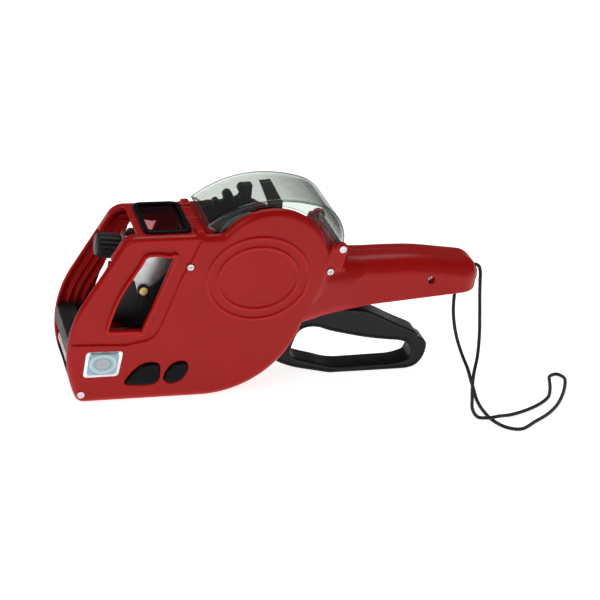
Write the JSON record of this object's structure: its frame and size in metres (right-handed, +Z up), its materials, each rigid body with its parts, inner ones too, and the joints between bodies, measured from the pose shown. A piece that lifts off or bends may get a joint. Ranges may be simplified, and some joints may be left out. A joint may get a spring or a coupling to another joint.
{
  "type": "price labeling gun",
  "caption": "Hand-held label gun: red two-shell body, clear label cover, print head on a lever, selector knob, black squeeze lever and wrist cord.",
  "frame": {"origin": "under the middle of the gun, on the surface that it stands on", "axes": "+X from the nose to the end of the handle, +Z up, +Y towards the right shell"},
  "size_m": [0.2765, 0.1069, 0.1095],
  "materials": {
    "shell_red": "glossy moulded red",
    "pointer_red": "glossy",
    "lever_black": "fine moulded texture",
    "trim_black": "satin",
    "knob_black": "ribbed satin",
    "inner_black": "satin",
    "clear_plastic": "clear moulded plastic",
    "smoked_plastic": "smoked clear plastic",
    "plated_steel": "bright zinc plate",
    "bracket_steel": "nickel plated sheet",
    "brass": "turned",
    "grey_plastic": "moulded",
    "foil": "printed foil",
    "ink_felt": "inked felt",
    "rubber_black": "matt",
    "roller_rubber": "ground",
    "cord": "braided"
  },
  "bodies": {
    "root": {"left_shell": "shell_red", "right_shell": "shell_red", "shell_screws": "plated_steel", "foil_sticker": "foil", "view_bezel": "trim_black", "view_lens": "smoked_plastic", "cover_hinge_pin": "plated_steel", "roll_shaft": "plated_steel", "roll_brake_comb": "inner_black", "roll_tension_arm": "inner_black", "lever_pivot_pin": "plated_steel", "return_spring": "plated_steel", "head_pivot_pin": "plated_steel", "platen": "bracket_steel", "platen_pad": "rubber_black", "nose_guard": "trim_black", "applicator_axle": "plated_steel", "base_hinge_pin": "plated_steel", "cord_post": "plated_steel", "wrist_cord": "cord"},
    "lever": {"hand_lever": "lever_black", "drive_pin": "plated_steel"},
    "head": {"head_arm": "bracket_steel", "head_bracket": "bracket_steel", "bracket_rivets": "brass", "head_housing": "inner_black", "band_axle": "plated_steel", "digit_bands": "rubber_black", "type_anvil": "grey_plastic", "detent_spring": "brass", "pointer_guide_rod": "plated_steel"},
    "pointer": {"pointer_carriage": "pointer_red"},
    "selector": {"selector_shaft": "plated_steel", "selector_pinion": "brass", "selector_knob": "knob_black"},
    "cover": {"label_cover": "clear_plastic"},
    "hub": {"roll_hub": "grey_plastic"},
    "inker": {"ink_arm": "inner_black"},
    "ink_roll": {"ink_roller": "ink_felt"},
    "applicator": {"applicator_roller": "roller_rubber"},
    "feed": {"feed_wheel": "inner_black", "ratchet_wheel": "bracket_steel", "feed_shaft": "plated_steel"},
    "rocker": {"feed_rocker": "bracket_steel"},
    "pawl": {"feed_pawl": "bracket_steel"},
    "base": {"base_cover": "trim_black"},
    "paper": {"paper_roller": "grey_plastic"},
    "button_left": {"release_button_left": "trim_black"},
    "button_right": {"release_button_right": "trim_black"},
    "latch_left": {"base_latch_left": "trim_black"},
    "latch_right": {"base_latch_right": "trim_black"},
    "wheel_1": {"band_wheel_1": "grey_plastic"},
    "wheel_2": {"band_wheel_2": "grey_plastic"},
    "wheel_3": {"band_wheel_3": "grey_plastic"},
    "wheel_4": {"band_wheel_4": "grey_plastic"},
    "wheel_5": {"band_wheel_5": "grey_plastic"},
    "wheel_6": {"band_wheel_6": "grey_plastic"}
  },
  "joints": [
    {"name": "lever_squeeze", "type": "hinge", "parent": "root", "child": "lever", "pos_m": [-0.002, 0, 0.034], "axis": [0, -1, 0], "range_deg": [0, 15], "stiffness_Nm_per_rad": 1.6, "springref_deg": -17.19},
    {"name": "head_strike", "type": "hinge", "parent": "root", "child": "head", "pos_m": [0.014, 0, 0.05], "axis": [0, -1, 0], "range_deg": [0, 7.35]},
    {"name": "ink_swing", "type": "hinge", "parent": "root", "child": "inker", "pos_m": [-0.06, 0, 0.052], "axis": [0, -1, 0], "range_deg": [0, 65]},
    {"name": "ink_roller_spin", "type": "hinge", "parent": "inker", "child": "ink_roll", "pos_m": [-0.073, 0, 0.0305], "axis": [0, 1, 0], "continuous": true},
    {"name": "rocker_swing", "type": "hinge", "parent": "root", "child": "rocker", "pos_m": [-0.036, 0, 0.0135], "axis": [0, -1, 0], "range_deg": [0, 30]},
    {"name": "pawl_lift", "type": "hinge", "parent": "rocker", "child": "pawl", "pos_m": [-0.04231, 0, 0.02251], "axis": [0, -1, 0], "range_deg": [0, 12], "stiffness_Nm_per_rad": 0.01, "springref_deg": -11.46},
    {"name": "feed_spin", "type": "hinge", "parent": "root", "child": "feed", "pos_m": [-0.036, 0, 0.0135], "axis": [0, 1, 0], "continuous": true},
    {"name": "selector_pull", "type": "slide", "parent": "head", "child": "pointer", "axis": [-0.9918, 0, 0.1279], "range_m": [0, 0.014]},
    {"name": "selector_turn", "type": "hinge", "parent": "pointer", "child": "selector", "pos_m": [-0.07728, 0, 0.0771], "axis": [0.9918, 0, -0.1279], "continuous": true},
    {"name": "cover_open", "type": "hinge", "parent": "root", "child": "cover", "pos_m": [0.0292, 0, 0.0822], "axis": [0, 1, 0], "range_deg": [0, 95]},
    {"name": "base_open", "type": "hinge", "parent": "root", "child": "base", "pos_m": [-0.1053, 0, 0.0055], "axis": [0, 1, 0], "range_deg": [0, 70]},
    {"name": "paper_roller_spin", "type": "hinge", "parent": "base", "child": "paper", "pos_m": [-0.058, 0, 0.0085], "axis": [0, 1, 0], "continuous": true},
    {"name": "applicator_spin", "type": "hinge", "parent": "root", "child": "applicator", "pos_m": [-0.1048, 0, 0.0195], "axis": [0, 1, 0], "continuous": true},
    {"name": "hub_spin", "type": "hinge", "parent": "root", "child": "hub", "pos_m": [-0.011, 0, 0.07], "axis": [0, 1, 0], "continuous": true},
    {"name": "release_left", "type": "slide", "parent": "root", "child": "button_left", "axis": [0, 1, 0], "range_m": [0, 0.002], "stiffness_N_per_m": 600, "springref_m": -0.002},
    {"name": "release_right", "type": "slide", "parent": "root", "child": "button_right", "axis": [0, -1, 0], "range_m": [0, 0.002], "stiffness_N_per_m": 600, "springref_m": -0.002},
    {"name": "latch_left", "type": "slide", "parent": "root", "child": "latch_left", "axis": [0, 1, 0], "range_m": [0, 0.002], "stiffness_N_per_m": 600, "springref_m": -0.002},
    {"name": "latch_right", "type": "slide", "parent": "root", "child": "latch_right", "axis": [0, -1, 0], "range_m": [0, 0.002], "stiffness_N_per_m": 600, "springref_m": -0.002},
    {"name": "digit_1_turn", "type": "hinge", "parent": "head", "child": "wheel_1", "pos_m": [-0.06523, 0, 0.06345], "axis": [0.9918, 0, -0.1279], "continuous": true},
    {"name": "digit_2_turn", "type": "hinge", "parent": "head", "child": "wheel_2", "pos_m": [-0.06801, 0, 0.06381], "axis": [0.9918, 0, -0.1279], "continuous": true},
    {"name": "digit_3_turn", "type": "hinge", "parent": "head", "child": "wheel_3", "pos_m": [-0.07079, 0, 0.06416], "axis": [0.9918, 0, -0.1279], "continuous": true},
    {"name": "digit_4_turn", "type": "hinge", "parent": "head", "child": "wheel_4", "pos_m": [-0.07356, 0, 0.06452], "axis": [0.9918, 0, -0.1279], "continuous": true},
    {"name": "digit_5_turn", "type": "hinge", "parent": "head", "child": "wheel_5", "pos_m": [-0.07634, 0, 0.06488], "axis": [0.9918, 0, -0.1279], "continuous": true},
    {"name": "digit_6_turn", "type": "hinge", "parent": "head", "child": "wheel_6", "pos_m": [-0.07912, 0, 0.06524], "axis": [0.9918, 0, -0.1279], "continuous": true}
  ],
  "couplings": [
    {"joint": "head_strike", "follows": "lever_squeeze", "ratio": 0.49},
    {"joint": "ink_swing", "follows": "lever_squeeze", "ratio": 4.3333},
    {"joint": "rocker_swing", "follows": "lever_squeeze", "ratio": 2},
    {"joint": "digit_1_turn", "follows": "selector_turn", "ratio": -0.6}
  ]
}
